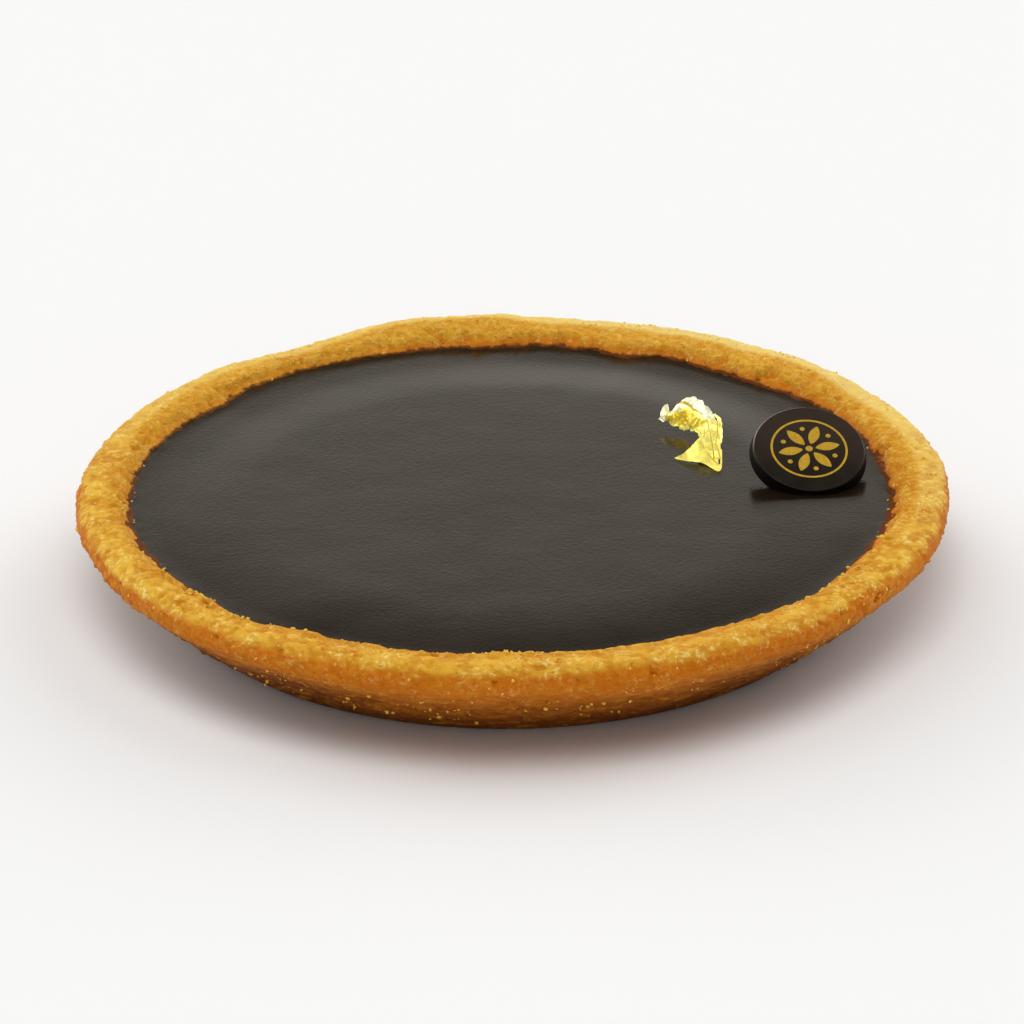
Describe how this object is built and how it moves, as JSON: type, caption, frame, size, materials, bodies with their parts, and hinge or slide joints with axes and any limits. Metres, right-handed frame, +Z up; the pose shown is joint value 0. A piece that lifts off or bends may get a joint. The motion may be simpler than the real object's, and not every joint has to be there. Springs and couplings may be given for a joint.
{
  "type": "chocolate tart",
  "caption": "Shallow round tart: a thick crumbly pastry shell filled level with glossy dark ganache, with a slanted chocolate disc and a flake of gold leaf.",
  "frame": {"origin": "centre of the flat underside, on the surface that the tart stands on", "axes": "+Z up, from the underside to the filling; +X towards the side that carries the chocolate disc"},
  "size_m": [0.1004, 0.0999, 0.017],
  "materials": {
    "baked_pastry": "dry, crumbly, with pale sugar grains",
    "ganache": "smooth and glossy",
    "dark_chocolate": "satin",
    "gold_leaf": "bright crumpled foil"
  },
  "bodies": {
    "root": {"crust": "baked_pastry", "ganache": "ganache", "chocolate_disc": "dark_chocolate", "gold_leaf": "gold_leaf"}
  },
  "joints": []
}
